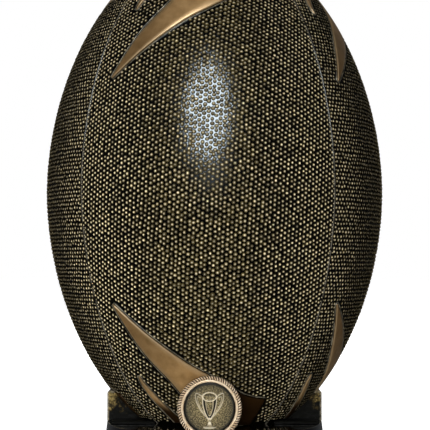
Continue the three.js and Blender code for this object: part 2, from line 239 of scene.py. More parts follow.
def add_node(made, kind, inputs=None, **settings):
    """Adds a node. inputs maps a socket to a number, a colour or another node's output."""
    node = made.node_tree.nodes.new(kind)
    for key, value in settings.items():
        setattr(node, key, value)
    for key, value in (inputs or {}).items():
        if isinstance(value, bpy.types.NodeSocket):
            made.node_tree.links.new(value, node.inputs[key])
        else:
            node.inputs[key].default_value = value
    return node


def link(made, output, socket_name):
    made.node_tree.links.new(output, shader_of(made).inputs[socket_name])


def object_place(made):
    return add_node(made, "ShaderNodeTexCoord").outputs["Object"]


def noise(made, scale, detail=4.0, roughness=0.55):
    inputs = {"Vector": object_place(made), "Scale": scale, "Detail": detail, "Roughness": roughness}
    return add_node(made, "ShaderNodeTexNoise", inputs).outputs["Fac"]


def ramp(made, value, stops):
    """A colour ramp from (position, (r, g, b)) stops."""
    node = add_node(made, "ShaderNodeValToRGB", {"Fac": value})
    elements = node.color_ramp.elements
    while len(elements) < len(stops):
        elements.new(0.5)
    for element, (position, colour) in zip(elements, stops):
        element.position = position
        element.color = (*colour, 1)
    return node.outputs["Color"]


def remap(made, value, low, high, to_low, to_high):
    inputs = {"Value": value, "From Min": low, "From Max": high, "To Min": to_low, "To Max": to_high}
    return add_node(made, "ShaderNodeMapRange", inputs).outputs["Result"]


def maths(made, operation, a, b):
    return add_node(made, "ShaderNodeMath", {0: a, 1: b}, operation=operation).outputs[0]


def mix_colours(made, share, a, b):
    node = add_node(made, "ShaderNodeMix", data_type="RGBA")
    for index, value in ((0, share), (6, a), (7, b)):
        if isinstance(value, bpy.types.NodeSocket):
            made.node_tree.links.new(value, node.inputs[index])
        else:
            node.inputs[index].default_value = (*value, 1) if isinstance(value, tuple) else value
    return node.outputs[2]


def bump(made, height, strength, distance):
    inputs = {"Height": height, "Strength": strength, "Distance": distance}
    link(made, add_node(made, "ShaderNodeBump", inputs).outputs["Normal"], "Normal")


def attribute(made, name):
    return add_node(made, "ShaderNodeAttribute", attribute_name=name).outputs["Fac"]


def ball_ground():
    made = material("black_ground", Specular_IOR_Level=1.0, Specular_Tint=(0.82, 0.93, 1.0))
    stops = [(0.35, (0.0008, 0.0008, 0.0006)), (0.7, (0.005, 0.004, 0.002))]
    black = ramp(made, noise(made, 900), stops)
    # Painted reflection: the bead along each seam is painted grey, like the white surroundings it would
    # mirror.
    bead_reflection_stops = [(0.35, (0.02, 0.018, 0.012)), (0.6, (0.20, 0.185, 0.15))]
    wear_and_painted_light = ramp(made, noise(made, 420), bead_reflection_stops)
    link(made, mix_colours(made, attribute(made, "bead"), black, wear_and_painted_light), "Base Color")
    link(made, remap(made, noise(made, 300), 0.3, 0.7, 0.09, 0.18), "Roughness")
    bump(made, noise(made, 700, 2), 0.45, 0.2 * MM)
    return made


def pebble_finishes():
    """A pebble's black foot, then its brown flank, gold top and pale cap in every tone; the tones are
    painted light and shade, the cap is gold wear and a painted highlight.
    """
    foot = (0.0015, 0.0014, 0.001)
    made = [material("pebble_foot", Base_Color=foot, Roughness=0.6, Specular_IOR_Level=0.1)]
    parts = (
        ("flank", (0.034, 0.026, 0.009), 2.8),
        ("top", (0.22, 0.17, 0.077), 1.2),
        # The cap's pale gold is gold wear and a painted highlight.
        ("cap", (0.65, 0.58, 0.42), 1.0),
    )
    for part, colour, contrast in parts:
        for tone, share in enumerate(PEBBLE_TONES):
            toned = tuple(np.array(colour) * share**contrast)
            made.append(material(f"pebble_{part}_{tone}", Base_Color=toned, Metallic=0.1,
                                 Roughness=0.55, Specular_IOR_Level=0.05))
    return made


def flame_gold():
    """Clouded gold, with a painted highlight along the edges, painted light where a flame is broad, and
    painted shade over the lower flames' ends.
    """
    made = material("flame_gold", Metallic=0.45, Roughness=0.38, Coat_Weight=0.15, Coat_Roughness=0.2)
    stops = [(0.3, (0.24, 0.14, 0.052)), (0.55, (0.33, 0.20, 0.083)), (0.8, (0.40, 0.255, 0.115))]
    cloud = noise(made, 160, 6, 0.6)
    # Painted light: the broad part of a flame is painted brighter.
    flame_light_stops = [(at, tuple(1.7 * part for part in colour)) for at, colour in stops]
    narrow, flame_painted_light = ramp(made, cloud, stops), ramp(made, cloud, flame_light_stops)
    face = mix_colours(made, attribute(made, "flame_painted_light"), narrow, flame_painted_light)
    # Painted highlight: the bevels along a flame's edges are painted paler.
    edge_highlighted = mix_colours(made, attribute(made, "edge"), face, (0.48, 0.36, 0.21))
    # Painted shade: the lower flames darken towards their ends.
    end_shaded = mix_colours(made, attribute(made, "end_shade"), edge_highlighted, (0.035, 0.016, 0.004))
    link(made, end_shaded, "Base Color")
    link(made, remap(made, noise(made, 500), 0.3, 0.7, 0.32, 0.46), "Roughness")
    bump(made, noise(made, 2600, 2), 0.12, 0.05 * MM)
    return made


def rim_gold():
    made = material("rim_gold", Metallic=0.4, Roughness=0.35, Coat_Weight=0.8, Coat_Roughness=0.15)
    stops = [(0.38, (0.05, 0.046, 0.034)), (0.62, (0.36, 0.32, 0.23))]
    link(made, ramp(made, noise(made, 260, 3), stops), "Base Color")
    return made


def bronze():
    """Bronze dabbed over black, lumpy, bright from wear along the outer corners.

    The dabs are painted thinner towards the right, on the inner faces and near the foot, as painted
    shade.
    """
    made = material("mottled_bronze", Metallic=0.15, Roughness=0.45, Specular_IOR_Level=0.2)
    stops = [(0.42, (0.002, 0.002, 0.001)), (0.50, (0.05, 0.034, 0.008)), (0.62, (0.36, 0.265, 0.095))]
    place = add_node(made, "ShaderNodeSeparateXYZ", {0: object_place(made)}).outputs
    outward = maths(made, "ABSOLUTE", place["X"], 0.0)
    cheek_low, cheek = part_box("cradle_cheek_right")
    # Painted shade: fewer gold dabs towards the right, on the inner faces and near the foot.
    shade_to_right = remap(made, place["X"], 10 * MM, 40 * MM, 0.0, 0.08)
    inner = remap(made, outward, cheek.x - 9 * MM, cheek.x - 4 * MM, 0.16, 0.0)
    low = remap(made, place["Z"], cheek_low.z + 1.5 * MM, cheek_low.z + 6 * MM, 0.3, 0.0)
    painted_shade = maths(made, "ADD", shade_to_right, maths(made, "MAXIMUM", inner, low))
    patches = ramp(made, maths(made, "SUBTRACT", noise(made, 240, 6, 0.75), painted_shade), stops)
    corner = remap(made, outward, cheek.x - 1.1 * MM, cheek.x - 0.5 * MM, 0.0, 1.0)
    front = remap(made, maths(made, "ABSOLUTE", place["Y"], 0.0), 18.2 * MM, 18.9 * MM, 0.0, 1.0)
    upper = remap(made, place["Z"], cheek.z - 1.0 * MM, cheek.z - 0.3 * MM, 0.0, 0.6)
    wear_and_light_level = maths(made, "MAXIMUM", maths(made, "MULTIPLY", corner, front), upper)
    wear_and_painted_light = maths(made, "MULTIPLY", wear_and_light_level, remap(made, noise(made, 700, 3), 0.35, 0.6, 0.2, 1.0))
    link(made, mix_colours(made, wear_and_painted_light, patches, (0.62, 0.55, 0.40)), "Base Color")
    bump(made, noise(made, 420, 4), 0.8, 0.5 * MM)
    return made


def plinth_black():
    made = material("plinth_black", Roughness=0.12, Coat_Weight=1.0, Coat_Roughness=0.04)
    stops = [(0.3, (0.004, 0.004, 0.0045)), (0.75, (0.010, 0.010, 0.011))]
    link(made, ramp(made, noise(made, 60), stops), "Base Color")
    link(made, remap(made, noise(made, 35, 3), 0.3, 0.7, 0.08, 0.18), "Roughness")
    bump(made, noise(made, 90, 2), 0.08, 0.4 * MM)
    return made


def copper_gold():
    made = material("copper_gold", Metallic=0.15, Roughness=0.35)
    shine = ramp(made, noise(made, 400, 3), [(0.35, (0.78, 0.57, 0.35)), (0.7, (1.0, 0.84, 0.63))])
    hollow = attribute(made, "hollow")
    link(made, mix_colours(made, hollow, shine, (0.035, 0.012, 0.005)), "Base Color")
    link(made, remap(made, hollow, 0.0, 1.0, 0.26, 0.55), "Roughness")
    return made


def disc_gold():
    """Olive gold with fine dark speckles, the raised lines of the cup brighter from wear, dark in the
    hollows and painted shade towards the rim.
    """
    made = material("disc_gold", Metallic=0.2, Roughness=0.45)
    stops = [(0.38, (0.014, 0.011, 0.003)), (0.5, (0.155, 0.12, 0.048)), (0.64, (0.52, 0.42, 0.22))]
    ground = ramp(made, noise(made, 1500, 3, 0.75), stops)
    raised = attribute(made, "raised")
    hollow = attribute(made, "hollow")
    wear_and_painted_light = mix_colours(made, raised, ground, (0.95, 0.84, 0.62))
    link(made, mix_colours(made, hollow, wear_and_painted_light, (0.01, 0.009, 0.006)), "Base Color")
    bump(made, noise(made, 2300, 3), 0.4, 0.12 * MM)
    return made


def felt_black():
    made = material("felt_black", Roughness=0.95, Sheen_Weight=0.4, Sheen_Roughness=0.5)
    stops = [(0.3, (0.008, 0.008, 0.009)), (0.7, (0.03, 0.03, 0.033))]
    link(made, ramp(made, noise(made, 1800, 6), stops), "Base Color")
    bump(made, noise(made, 3000, 5), 0.7, 0.2 * MM)
    return made


def cast_material(name, dark, light, scale, metallic, roughness):
    """Bare resin, foam or machined metal of the hidden pieces."""
    made = material(name, Metallic=metallic, Roughness=roughness)
    link(made, ramp(made, noise(made, scale), [(0.3, dark), (0.7, light)]), "Base Color")
    bump(made, noise(made, scale * 3), 0.2, 0.1 * MM)
    return made


# ---------------------------------------------------------------- the ball's surface
profile_heights = BALL_HALF_LENGTH * np.sin(np.linspace(-math.pi / 2, math.pi / 2, 6001))


def radius_at(z):
    part = np.clip(np.abs(z) / BALL_HALF_LENGTH, 0, 1)
    return BALL_RADIUS * (1 - part**BALL_EXPONENT) ** (1 / BALL_EXPONENT)


# length along the skin from the widest place, at each of the heights
profile_steps = np.hypot(np.diff(profile_heights), np.diff(radius_at(profile_heights)))
profile_arc = np.concatenate([[0], np.cumsum(profile_steps)])
profile_arc -= np.interp(0, profile_heights, profile_arc)


def slope_at(z):
    step = 0.3 * MM
    at = np.clip(z, -BALL_HALF_LENGTH + step, BALL_HALF_LENGTH - step)
    return (radius_at(at + step) - radius_at(at - step)) / (2 * step)


def ball_frame(azimuth, z):
    """Points of the ball in the trophy's frame, with the outward normal and the two tangents."""
    azimuth, z = np.broadcast_arrays(azimuth, z)
    r, slope = radius_at(z), slope_at(z)
    sine, cosine = np.sin(azimuth), np.cos(azimuth)
    point = np.stack([r * sine, -r * cosine, BALL_CENTRE + z], -1)
    size = np.hypot(1, slope)
    normal = np.stack([sine / size, -cosine / size, -slope / size], -1)
    around = np.stack([cosine, sine, 0 * sine], -1)
    up = np.stack([slope * sine / size, -slope * cosine / size, 1 / size], -1)
    return point, normal, around, up


def skin_point(azimuth, z, depth):
    point, normal, _, _ = ball_frame(azimuth, z)
    return point - normal * np.broadcast_to(depth, point.shape[:-1])[..., None]


# ---------------------------------------------------------------- flames: outlines on the ball


def spline(points, steps):
    """Uniform Catmull-Rom spline through points, with mirrored end tangents."""
    p = np.asarray(points, float)
    t = np.linspace(0, len(p) - 1, steps + 1)
    i = np.minimum(t.astype(int), len(p) - 2)
    f = (t - i)[:, None]
    a, b, c, d = p[np.maximum(i - 1, 0)], p[i], p[i + 1], p[np.minimum(i + 2, len(p) - 1)]
    half = 0.5 * (c - a), 0.5 * (d - b)
    return ((2 * b - 2 * c + half[0] + half[1]) * f**3
            + (-3 * b + 3 * c - 2 * half[0] - half[1]) * f**2 + half[0] * f + b)


def flame_edge(edge, side):
    """An edge as (azimuth from the tip, height), moved sideways by side metres."""
    line = spline(edge, FLAME_STEPS) * [math.radians(1), MM]
    scale = radius_at(line[:, 1])
    along = np.gradient(line, axis=0) * np.stack([scale, np.ones_like(scale)], 1)
    along /= np.linalg.norm(along, axis=1)[:, None]
    return line + np.stack([along[:, 1] * side / scale, -along[:, 0] * side], 1)


def list_flames():
    """Name, outline, azimuth of the tip, and pole (1 top, -1 bottom) of every flame."""
    flames = []
    for side, (middle, angle) in PANELS.items():
        seam = middle - angle / 2
        for end, pole in (("top", 1), ("bottom", -1)):
            flames.append((f"large_flame_{end}_{side}", LARGE_FLAME, seam + FLAME_LEAD, pole))
            flames.append((f"small_flame_{end}_{side}", SMALL_FLAME, seam + SMALL_FLAME_LEAD, pole))
    return flames


def distance_to_flame(azimuth, z, flame, tip, pole):
    """Distance in metres of points from a flame's outline, negative inside."""
    lower, upper = flame_edge(flame[0], FLAME_MARGIN), flame_edge(flame[1], -FLAME_MARGIN)
    outline = np.concatenate([lower, upper[::-1]])
    da = (azimuth - tip + math.pi) % TAU - math.pi
    high = (z + FLAME_DROP) * pole
    scale = radius_at(z)
    away = np.full(len(z), 1.0)
    inside = np.zeros(len(z), bool)
    for start, end in zip(outline, np.roll(outline, -1, 0)):
        ax, ay = (start[0] - da) * scale, start[1] - high
        bx, by = (end[0] - da) * scale, end[1] - high
        dx, dy = bx - ax, by - ay
        t = np.clip(-(ax * dx + ay * dy) / np.maximum(dx * dx + dy * dy, 1e-18), 0, 1)
        away = np.minimum(away, np.hypot(ax + t * dx, ay + t * dy))
        crossing = ((ay > 0) != (by > 0)) & (ax - ay * dx / np.where(dy == 0, 1e-18, dy) > 0)
        inside ^= crossing
    return np.where(inside, -away, away)


def build_flame(name, flame, tip, pole, finish):
    """A crowned inlay with rounded edges, flush with the pebbles' tops."""
    lower, upper = flame_edge(flame[0], FLAME_MARGIN), flame_edge(flame[1], -FLAME_MARGIN)
    width = np.hypot((upper[:, 0] - lower[:, 0]) * radius_at(lower[:, 1]), upper[:, 1] - lower[:, 1])
    bevel = np.minimum(0.24 * MM, 0.3 * width) / width
    profile = [(0, 0.0, FLAME_DEPTH), (0, 0.0, 0.45 * MM), (0, 0.4, 0.14 * MM), (0, 1.0, 0.03 * MM)]
    profile += [(share, 0.0, 0.0) for share in (0.2, 0.35, 0.5, 0.65, 0.8)]
    profile += [(1, -1.0, 0.03 * MM), (1, -0.4, 0.14 * MM), (1, 0.0, 0.45 * MM), (1, 0.0, FLAME_DEPTH)]
    columns = []
    for share, inset, depth in profile:
        across = share + inset * bevel
        line = lower + (upper - lower) * across[:, None]
        columns.append(skin_point(tip + line[:, 0], line[:, 1] * pole - FLAME_DROP, depth))
    points = np.stack(columns, 1)
    rows, count = points.shape[:2]
    faces = capped_faces(rows, count, flipped=pole > 0)
    made = mesh_object(name.replace("_flame", "_flame_inlay"), points.reshape(-1, 3), faces, [finish])
    # The bevels along the flame's edges carry a painted highlight.
    edge = [1.0 if 0 < abs(inset) < 1.0 else (0.5 if abs(inset) == 1.0 else 0.0)
            for _, inset, _ in profile]
    paint_float(made, "edge", np.tile(edge, rows))
    along = np.linspace(0, 1, rows)
    # Painted shade over the ends of the lower flames.
    end_shade = smoothstep(END_SHADE_START, END_SHADE_END, along) if pole < 0 else np.zeros(rows)
    paint_float(made, "end_shade", np.repeat(end_shade, count))
    # Painted light along each flame, brighter away from its tip.
    paint_float(made, "flame_painted_light", np.repeat(smoothstep(BRIGHT_START, BRIGHT_END, along), count))
    return piece(made, "flame", name)


def build_rim(name, flame, tip, pole, finish):
    """The fine raised line round a flame, a little way out from it."""
    offset = FLAME_MARGIN + RIM_OFFSET
    lower, upper = flame_edge(flame[0], offset), flame_edge(flame[1], -offset)
    outline = np.concatenate([upper[::-1], lower])
    step = np.gradient(outline, axis=0) * np.stack([radius_at(outline[:, 1]), np.ones(len(outline))], 1)
    step /= np.linalg.norm(step, axis=1)[:, None]
    columns = []
    for side, depth in ((-0.5, 0.9), (-0.35, 0.35), (0.0, 0.2), (0.35, 0.35), (0.5, 0.9)):
        aside = side * RIM_WIDTH
        azimuth = outline[:, 0] + step[:, 1] * aside / radius_at(outline[:, 1])
        height = outline[:, 1] - step[:, 0] * aside
        columns.append(skin_point(tip + azimuth, height * pole - FLAME_DROP, depth * MM))
    points = np.stack(columns, 1)
    rows, count = points.shape[:2]
    faces = capped_faces(rows, count, flipped=pole > 0)
    made = mesh_object(name.replace("flame", "rim"), points.reshape(-1, 3), faces, [finish])
    return piece(made, "ball")


# ---------------------------------------------------------------- the black skin with its seams


def build_skin(finish):
    """The black ground between the pebbles, with a raised bead and a groove along each seam."""
    rows = 150
    lowest = math.asin((BALL_FOOT - BALL_CENTRE) / BALL_HALF_LENGTH)
    heights = BALL_HALF_LENGTH * np.sin(np.linspace(lowest, math.pi / 2 - 0.01, rows))
    # (distance from the seam, depth) over half of a seam, then mirrored
    bead = [(-2 * SEAM_GROOVE, 0.0), (-SEAM_GROOVE, 0.0), (-0.4 * MM, SEAM_DEPTH),
            (-SEAM_RIDGE, 0.6 * SEAM_DEPTH), (-0.22 * MM, -0.42 * MM), (0.0, -0.56 * MM)]
    bead += [(-aside, down) for aside, down in bead[-2::-1]]
    columns = []
    for start, end in zip(SEAMS, SEAMS[1:] + [SEAMS[0] + TAU]):
        for aside, down in bead:
            columns.append((start, aside, down))
        for share in np.linspace(0, 1, 34)[1:-1]:
            columns.append((start + (end - start) * share, 0.0, 0.0))
    reach = np.minimum(1, radius_at(heights) / (14 * MM))
    points = np.stack(
        [skin_point(azimuth + aside * reach / radius_at(heights), heights, GROUND_DEPTH + down * reach)
         for azimuth, aside, down in columns], 1)
    summit = BALL_CENTRE + BALL_HALF_LENGTH - GROUND_DEPTH
    vertices = np.concatenate([points.reshape(-1, 3), [[0, 0, BALL_FOOT]], [[0, 0, summit]]])
    made = mesh_object("ball_skin", vertices, fanned_faces(rows, len(columns)), [finish])
    # The bead's faces take the painted grey reflection.
    wear_and_painted_light = [1.0 if down < 0 else 0.0 for _, _, down in columns]
    paint_float(made, "bead", np.concatenate([np.tile(wear_and_painted_light, rows), np.zeros(2)]))
    return piece(made, "ball", "ball_shell")


# ---------------------------------------------------------------- pebbles


def lattice(middle, angle, rows_level):
    """Azimuths, heights and sizes of a panel's pebbles, in columns, or in level rows at the sides."""
    reach = profile_arc[-1] * 1.05
    lines = np.arange(-int(reach / COLUMN), int(reach / COLUMN) + 1)
    steps = np.arange(-int(reach / PITCH), int(reach / PITCH) + 1)
    line, step = (grid.ravel() for grid in np.meshgrid(lines, steps, indexing="ij"))
    across, along = line * COLUMN, (step + 0.5 * (line % 2)) * PITCH
    if rows_level:
        across, along = along, across
    lean = 0.0 if rows_level else LATTICE_LEAN
    # x runs round the ball from the panel's middle, s along the skin from the widest place
    x = across * math.cos(lean) + along * math.sin(lean)
    s = along * math.cos(lean) - across * math.sin(lean)
    x = x + rng.normal(0, PLACE_JITTER, len(x))
    s = s + rng.normal(0, PLACE_JITTER, len(s))
    z = np.interp(s, profile_arc, profile_heights)
    r = radius_at(z)
    room = r * angle / 2 - np.abs(x)
    near = room > -CUT_REACH
    near &= (s > profile_arc[0]) & (s < profile_arc[-1] - TOP_CLEAR)
    near &= z > BALL_FOOT - BALL_CENTRE + FOOT_CLEAR
    x, z, r, room = x[near], z[near], r[near], room[near]
    cut = room < CUT_ROOM
    aside = np.where(cut, CUT_CLEAR, SEAM_CLEAR) - room
    x -= np.sign(x) * np.maximum(aside, 0)
    azimuth = middle + x / r
    size = np.where(cut, CUT_SIZE, 1.0)
    clear = np.ones(len(z), bool)
    for _, flame, tip, pole in list_flames():
        from_tip = np.abs((azimuth - tip + math.pi) % TAU - math.pi)
        index = np.flatnonzero((z * pole > FLAME_ZONE) & (from_tip < FLAME_SPAN) & clear)
        if len(index):
            far = distance_to_flame(azimuth[index], z[index], flame, tip, pole) > FLAME_CLEAR
            clear[index[~far]] = False
    return azimuth[clear], z[clear], size[clear]


def pebble_tones(azimuth, z):
    """The tone of each pebble's gold and of its flank, as numbers in PEBBLE_TONES.

    The gold is painted brightest just inside the front panel's seams and on the flat sides,
    darkest halfway from them to the middle of the side panels, and darker towards the foot; the
    flank is browner near the middle of the front and on the flat sides. This is painted light and
    painted shade, with a random spread of tone on top. The back repeats the front.
    """
    side = np.abs((azimuth - BALL_TURN + math.pi / 2) % math.pi - math.pi / 2)
    # Painted light and painted shade, by the angle from the front and back middles and by height.
    wear_and_painted_light = 1 - np.clip(np.abs(side - PAINTED_LIGHT_MIDDLE) / PAINTED_LIGHT_REACH, 0, 1)
    side_band_light = smoothstep(SIDE_LIGHT_START, SIDE_LIGHT_END, side)
    brown = 1 - smoothstep(BROWN_START, BROWN_END, side) + side_band_light
    wear_and_light_level = 1.1 + 2.1 * wear_and_painted_light + 1.9 * side_band_light
    wear_and_light_level -= 1.7 * smoothstep(PAINTED_SHADE_START, PAINTED_SHADE_END, side)
    wear_and_light_level -= 0.9 * smoothstep(SHADE_START, SHADE_END, -z)
    brightest = len(PEBBLE_TONES) - 1
    gold = np.clip(np.rint(wear_and_light_level + rng.normal(0, 0.8, len(z))), 0, brightest)
    flank = np.clip(np.rint(2.8 * brown + rng.normal(0, 0.5, len(z))), 0, brightest)
    return gold.astype(int), flank.astype(int)


def pebble_pattern():
    """The faces of one pebble, by the numbers of its points, and the part each belongs to."""
    rings = len(PEBBLE_RINGS)
    faces, parts = [tuple(range(PEBBLE_SIDES))[::-1]], [FOOT]
    for ring in range(rings - 1):
        low, high = ring * PEBBLE_SIDES, (ring + 1) * PEBBLE_SIDES
        for k in range(PEBBLE_SIDES):
            j = (k + 1) % PEBBLE_SIDES
            faces.append((low + k, low + j, high + j, high + k))
            parts.append(ring)
    last, summit = (rings - 1) * PEBBLE_SIDES, rings * PEBBLE_SIDES
    for k in range(PEBBLE_SIDES):
        faces.append((last + k, last + (k + 1) % PEBBLE_SIDES, summit))
        parts.append(CAP)
    return faces, parts


def build_pebbles(name, azimuth, z, share, finishes):
    """Small closed domes on the skin: black foot, brown flank, gold top with a pale cap of gold wear and
    painted highlight.
    """
    count = len(z)
    point, normal, around, up = ball_frame(azimuth, z)
    size = PEBBLE_RADIUS * share * (1 + rng.uniform(-SIZE_JITTER, SIZE_JITTER, count))
    stretch = 1 + rng.uniform(-STRETCH_JITTER, STRETCH_JITTER, count)
    turn = rng.uniform(0, TAU, count)
    height = GROUND_DEPTH * (1 - rng.uniform(0, HEIGHT_JITTER, count))
    base = point - normal * GROUND_DEPTH
    rings = []
    for out, rise in PEBBLE_RINGS:
        for k in range(PEBBLE_SIDES):
            angle = turn + TAU * k / PEBBLE_SIDES
            east = (np.cos(angle) * size * out * stretch)[:, None] * around
            north = (np.sin(angle) * size * out / stretch)[:, None] * up
            rings.append(base + east + north + (height * rise)[:, None] * normal)
    rings.append(base + height[:, None] * normal)
    vertices = np.stack(rings, 1)
    points_each = vertices.shape[1]
    pattern, parts = pebble_pattern()
    gold, flank = pebble_tones(azimuth, z)
    tones = len(PEBBLE_TONES)
    faces, indices = [], []
    for i in range(count):
        first = i * points_each
        faces.extend(tuple(first + v for v in face) for face in pattern)
        finish_of = {FOOT: 0, FLANK: 1 + flank[i], TOP: 1 + tones + gold[i], CAP: 1 + 2 * tones + gold[i]}
        indices.extend(finish_of[part] for part in parts)
    made = mesh_object(name, vertices.reshape(-1, 3), faces, finishes, indices=indices)
    return piece(made, "ball")


# ---------------------------------------------------------------- the medallion's measures
bezel_low, bezel_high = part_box("medallion_bezel")
disc_low, disc_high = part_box("medallion_disc")
MEDALLION_X = (bezel_low.x + bezel_high.x) / 2
MEDALLION_Z = (bezel_low.z + bezel_high.z) / 2
BEZEL_RADIUS = (bezel_high.x - bezel_low.x) / 2
BEZEL_INNER = 12.3 * MM
ROPE_RIDGES = 74
ROPE_TWIST = 1.7
ROPE_RADIUS = 1.0 * MM

# ---------------------------------------------------------------- plinth
plinth_low, plinth_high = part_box("plinth")
PLINTH_EXPONENT = 2.9
PLINTH_FLARE = 2.5 * MM
PLINTH_ROUNDING = 0.8 * MM
PLINTH_POINTS = 240
SEAT_GAP = 0.3 * MM
SEAT_DEPTH = 20 * MM
SEAT_MIDDLE = -60 * MM  # halfway between the seat's back and its open front


def plinth_ring(inset, z):
    """The plinth's outline, a superellipse, moved inwards by inset."""
    angle = np.linspace(0, TAU, PLINTH_POINTS, endpoint=False)
    power = 2 / PLINTH_EXPONENT
    c, s = np.cos(angle), np.sin(angle)
    x = (plinth_high.x - inset) * np.sign(c) * np.abs(c) ** power
    y = (plinth_high.y - inset) * np.sign(s) * np.abs(s) ** power
    return np.stack([x, y, np.full_like(x, z)], 1)


def build_plinth(finish):
    """A flared block with a rounded upper edge and a round seat for the medallion."""
    top = plinth_high.z
    rings = [plinth_ring(4 * MM, plinth_low.z), plinth_ring(0.4 * MM, plinth_low.z),
             plinth_ring(0, plinth_low.z + 0.4 * MM)]
    for angle in np.linspace(0, math.pi / 2, 6):
        inset = PLINTH_FLARE + PLINTH_ROUNDING * (1 - math.cos(angle))
        rings.append(plinth_ring(inset, top - PLINTH_ROUNDING * (1 - math.sin(angle))))
    rings.append(plinth_ring(PLINTH_FLARE + 3 * MM, top))
    faces = capped_faces(len(rings), PLINTH_POINTS)
    made = mesh_object("plinth_body", np.concatenate(rings), faces, [finish])
    bpy.ops.mesh.primitive_cylinder_add(
        vertices=96, radius=BEZEL_RADIUS + SEAT_GAP, depth=SEAT_DEPTH, rotation=(math.pi / 2, 0, 0),
        location=(MEDALLION_X, SEAT_MIDDLE, MEDALLION_Z))
    cutter = bpy.context.object
    cut = made.modifiers.new("medallion_seat", "BOOLEAN")
    cut.object = cutter
    cut.operation = "DIFFERENCE"
    bpy.context.view_layer.objects.active = made
    bpy.ops.object.modifier_apply(modifier=cut.name)
    bpy.data.objects.remove(cutter)
    made.data.set_sharp_from_angle(angle=math.radians(35))
    return piece(made, "plinth", "plinth")


# ---------------------------------------------------------------- medallion


def build_bezel(finish):
    """A ring with a smooth inner band and a rope of slanting ridges round the outside."""
    front, back = bezel_low.y, bezel_high.y
    rope_middle = BEZEL_RADIUS - 1.15 * MM
    # (radius, y, share of the rope's waves, share of the dark finish) from the inside out
    profile = [
        (BEZEL_INNER, back, 0, 0),
        (BEZEL_INNER, front + 0.55 * MM, 0, 0.4),
        (BEZEL_INNER + 0.25 * MM, front + 0.15 * MM, 0, 0),
        (BEZEL_INNER + 0.75 * MM, front, 0, 0),
        (BEZEL_INNER + 1.15 * MM, front + 0.12 * MM, 0, 0),
        (BEZEL_INNER + 1.3 * MM, front + 0.5 * MM, 0, 1),
    ]
    for angle in np.linspace(-0.75 * math.pi / 2 - 0.6, math.pi / 2 + 0.25, 11):
        profile.append((rope_middle + ROPE_RADIUS * math.sin(angle),
                        front + 0.15 * MM + ROPE_RADIUS * (1 - math.cos(angle)), 1, 0))
    profile.append((BEZEL_RADIUS - 0.25 * MM, back, 0, 0.6))
    around = np.linspace(0, TAU, ROPE_RIDGES * 8, endpoint=False)
    columns, hollows = [], []
    for i, (r, y, rope, dark) in enumerate(profile):
        wave = np.sin(ROPE_RIDGES * around / 2 + ROPE_TWIST * i * 0.22) ** 2
        sink = rope * 0.6 * MM * (1 - wave)
        radial = r - sink * 0.6
        columns.append(np.stack([MEDALLION_X + radial * np.sin(around), y + sink * 0.8,
                                 MEDALLION_Z + radial * np.cos(around)], -1))
        hollows.append(np.clip(rope * (1.55 - 1.9 * wave) + dark, 0, 1))
    points = np.stack(columns, 1)
    rows, count = points.shape[:2]
    faces = grid_faces(rows + 1, count, True)
    faces = [tuple(v % (rows * count) for v in face) for face in faces]
    made = mesh_object("medallion_rope_bezel", points.reshape(-1, 3), faces, [finish])
    paint_float(made, "hollow", np.stack(hollows, 1).ravel())
    return piece(made, "bezel", "medallion_bezel")


def stroke(x, y, points, width):
    """1 on a line through points, falling to 0 at width from it."""
    line = spline(points, 24)
    away = np.full(x.shape, 1e3)
    for (ax, ay), (bx, by) in zip(line[:-1], line[1:]):
        dx, dy = bx - ax, by - ay
        t = np.clip(((x - ax) * dx + (y - ay) * dy) / max(dx * dx + dy * dy, 1e-12), 0, 1)
        away = np.minimum(away, np.hypot(x - ax - t * dx, y - ay - t * dy))
    return 1 - smoothstep(0, width, away)


def cup_relief(x, y):
    """A plain two-handled cup: how far its lines and its bowl rise and its hollows sink, from 0.

    x and y are millimetres from the disc's middle.
    """
    side = np.abs(x)
    mouth = np.hypot(x / 3.3, (y - 5.4) / 2.0)
    lines = 1 - smoothstep(0, 0.22, np.abs(mouth - 1))
    lines = np.maximum(lines, stroke(side, y, [(3.3, 5.4), (3.1, 1.8), (2.2, -1.8), (0.9, -4.3)], 0.45))
    handle = [(3.3, 5.0), (4.6, 6.4), (6.6, 6.9), (6.3, 3.4), (4.6, -0.2), (2.6, -2.8), (0.9, -4.6)]
    lines = np.maximum(lines, 0.75 * stroke(side, y, handle, 0.45))
    inner_handle = [(4.2, 4.9), (5.7, 5.4), (5.3, 2.6), (4.0, 0.0), (2.3, -2.6)]
    lines = np.maximum(lines, 0.45 * stroke(side, y, inner_handle, 0.35))
    fold = [(1.75, 3.2), (1.5, 0.2), (0.85, -2.6), (0.0, -3.6)]
    lines = np.maximum(lines, 0.7 * stroke(side, y, fold, 0.3))
    lines = np.maximum(lines, stroke(side, y, [(0.0, -4.6), (1.1, -4.7)], 0.5))
    stem_edge = np.interp(y, [-9.6, -7.6, -6.0, -5.2, -4.7], [2.6, 1.0, 0.75, 1.0, 1.1])
    stem = smoothstep(0, 0.3, stem_edge - side) * (y < -4.7) * (y > -9.6)
    lines = np.maximum(lines, stem * (0.55 + 0.4 * np.cos(2.6 * y)))
    lines = np.maximum(lines, stroke(side, y, [(0.0, -9.0), (2.8, -9.0)], 0.42))
    bowl_edge = np.interp(y, [-4.2, -1.8, 1.8, 5.4], [0.7, 2.0, 3.0, 3.3])
    bowl = smoothstep(0, 0.7, bowl_edge - side) * (y > -4.2) * (y < 5.6)
    hollow = [(2.75, 3.9), (2.4, 1.2), (1.6, -1.6), (0.5, -4.0)]
    gap = np.maximum(0, 1.6 * stroke(side, y, hollow, 0.8) - 0.9 * lines)
    inner = smoothstep(0.1, 0.5, 1 - mouth)
    return lines, bowl * (1 - inner), np.maximum(gap, 0.75 * inner * smoothstep(5.2, 6.4, y))


